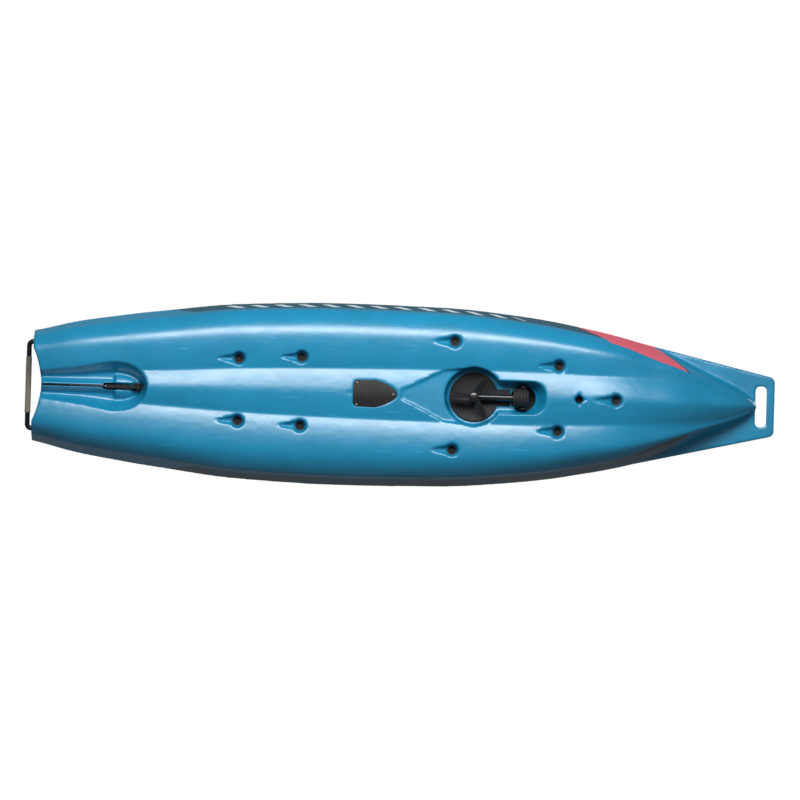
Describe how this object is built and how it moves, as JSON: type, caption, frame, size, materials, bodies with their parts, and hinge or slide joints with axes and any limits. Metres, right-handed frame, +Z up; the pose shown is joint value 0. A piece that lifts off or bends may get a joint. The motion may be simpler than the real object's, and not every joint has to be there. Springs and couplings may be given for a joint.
{
  "type": "pedal kayak",
  "caption": "Sit-on-top pedal kayak with a folding propeller drive, a retracting steerable rudder, a sliding seat with a folding back, and a hinged bow hatch.",
  "frame": {"origin": "middle of the boat's length and width, at the keel's lowest line", "axes": "+X to the bow, +Y to port, +Z up"},
  "size_m": [3.799, 0.9238, 0.7548],
  "materials": {
    "hull_shell": "satin moulded polyethylene",
    "black_plastic": "pebbled",
    "plug_rubber": "matt",
    "black_gloss": "moulded nylon",
    "steel": "stainless",
    "aluminium": "anodised",
    "grip_tan": "soft sleeve",
    "hatch_plastic": "textured",
    "seat_fabric": "woven mesh",
    "deck_foam": "grooved foam"
  },
  "bodies": {
    "root": {"hull": "hull_shell", "scupper_plugs": "plug_rubber", "keel_cover": "black_plastic", "keel_cover_screws": "steel", "drive_tray": "black_plastic", "stern_handle": "aluminium", "stern_handle_grip": "grip_tan", "drive_base": "black_plastic", "base_clamps": "black_plastic", "drive_column": "black_plastic", "gear_case_left": "black_plastic", "gear_case_right": "black_plastic", "crank_bearings": "steel", "column_bearings": "steel", "knuckle_pin": "steel", "rudder_bracket": "black_plastic", "rudder_pin": "steel", "gear_tracks": "aluminium", "rod_holder_left": "black_plastic", "rod_holder_right": "black_plastic", "steering_base": "black_plastic", "hatch_rim": "black_plastic", "hatch_gasket": "plug_rubber", "hatch_hinge_blocks": "black_plastic", "hatch_hinge_pins": "steel", "floor_pad_left": "deck_foam", "floor_pad_right": "deck_foam", "seat_rails": "aluminium"},
    "crank": {"crank_shaft": "steel", "crank_gear": "steel", "crank_arm_left": "aluminium", "crank_arm_right": "aluminium", "pedal_spindle_left": "steel", "pedal_spindle_right": "steel"},
    "left_pedal": {"pedal_left": "black_plastic"},
    "right_pedal": {"pedal_right": "black_plastic"},
    "upright_shaft": {"column_shaft": "steel"},
    "leg": {"drive_leg": "black_gloss", "knuckle_boot": "plug_rubber", "leg_bushes": "black_plastic"},
    "leg_drive": {"leg_shaft": "steel"},
    "prop": {"propeller": "black_gloss", "prop_shaft": "steel", "prop_nose_cone": "black_gloss"},
    "rudder_head": {"rudder_yoke": "black_plastic"},
    "rudder": {"rudder_blade": "black_gloss", "rudder_stock": "steel"},
    "steering": {"steering_handle": "black_plastic"},
    "drain": {"drain_plug": "black_plastic"},
    "hatch": {"hatch_lid": "hatch_plastic"},
    "latch_left": {"hatch_latch_left": "black_plastic"},
    "latch_right": {"hatch_latch_right": "black_plastic"},
    "seat": {"seat_frame": "aluminium", "seat_shoes": "black_plastic", "seat_cushion": "seat_fabric", "seat_brackets": "aluminium", "seat_hinge_pins": "steel"},
    "seat_back": {"seat_back_frame": "aluminium", "seat_back_pad": "seat_fabric"}
  },
  "joints": [
    {"name": "crank_spin", "type": "hinge", "parent": "root", "child": "crank", "pos_m": [0.622, 0, 0.45], "axis": [0, 1, 0], "continuous": true},
    {"name": "left_pedal_spin", "type": "hinge", "parent": "crank", "child": "left_pedal", "pos_m": [0.772, 0.125, 0.45], "axis": [0, 1, 0], "continuous": true},
    {"name": "right_pedal_spin", "type": "hinge", "parent": "crank", "child": "right_pedal", "pos_m": [0.472, -0.125, 0.45], "axis": [0, 1, 0], "continuous": true},
    {"name": "upright_shaft_spin", "type": "hinge", "parent": "root", "child": "upright_shaft", "pos_m": [0.622, 0, 0.25], "axis": [0, 0, 1], "continuous": true},
    {"name": "leg_fold", "type": "hinge", "parent": "root", "child": "leg", "pos_m": [0.622, 0, 0.063], "axis": [0, -1, 0], "range_deg": [0, 90]},
    {"name": "leg_drive_spin", "type": "hinge", "parent": "leg", "child": "leg_drive", "pos_m": [0.5, 0, 0.063], "axis": [1, 0, 0], "continuous": true},
    {"name": "prop_spin", "type": "hinge", "parent": "leg", "child": "prop", "pos_m": [0.373, 0, 0.03], "axis": [0, 0, -1], "continuous": true},
    {"name": "rudder_lift", "type": "hinge", "parent": "root", "child": "rudder_head", "pos_m": [-1.327, 0, 0.062], "axis": [0, -1, 0], "range_deg": [0, 90]},
    {"name": "rudder_steer", "type": "hinge", "parent": "rudder_head", "child": "rudder", "pos_m": [-1.49, 0, 0.062], "axis": [1, 0, 0], "range_deg": [-30, 30]},
    {"name": "steering_turn", "type": "hinge", "parent": "root", "child": "steering", "pos_m": [-0.04, 0.388, 0.33], "axis": [0, 0, 1], "range_deg": [-45, 45]},
    {"name": "drain_plug_turn", "type": "hinge", "parent": "root", "child": "drain", "pos_m": [-1.65, 0.15, 0.31], "axis": [0, 0, 1], "range_deg": [0, 360]},
    {"name": "hatch_open", "type": "hinge", "parent": "root", "child": "hatch", "pos_m": [1.554, 0, 0.385], "axis": [0, 1, 0], "range_deg": [0, 105]},
    {"name": "latch_left_turn", "type": "hinge", "parent": "hatch", "child": "latch_left", "pos_m": [1.288, 0.062, 0.39], "axis": [0, 0, 1], "range_deg": [0, 90]},
    {"name": "latch_right_turn", "type": "hinge", "parent": "hatch", "child": "latch_right", "pos_m": [1.288, -0.062, 0.39], "axis": [0, 0, 1], "range_deg": [0, 90]},
    {"name": "seat_slide", "type": "slide", "parent": "root", "child": "seat", "axis": [1, 0, 0], "range_m": [-0.06, 0.09]},
    {"name": "seat_back_fold", "type": "hinge", "parent": "seat", "child": "seat_back", "pos_m": [-0.555, 0, 0.372], "axis": [0, 1, 0], "range_deg": [0, 100]}
  ],
  "couplings": [
    {"joint": "upright_shaft_spin", "follows": "crank_spin", "ratio": 2.5},
    {"joint": "leg_drive_spin", "follows": "crank_spin", "ratio": 2.5},
    {"joint": "prop_spin", "follows": "crank_spin", "ratio": 10},
    {"joint": "steering_turn", "follows": "rudder_steer", "ratio": 1.5}
  ]
}
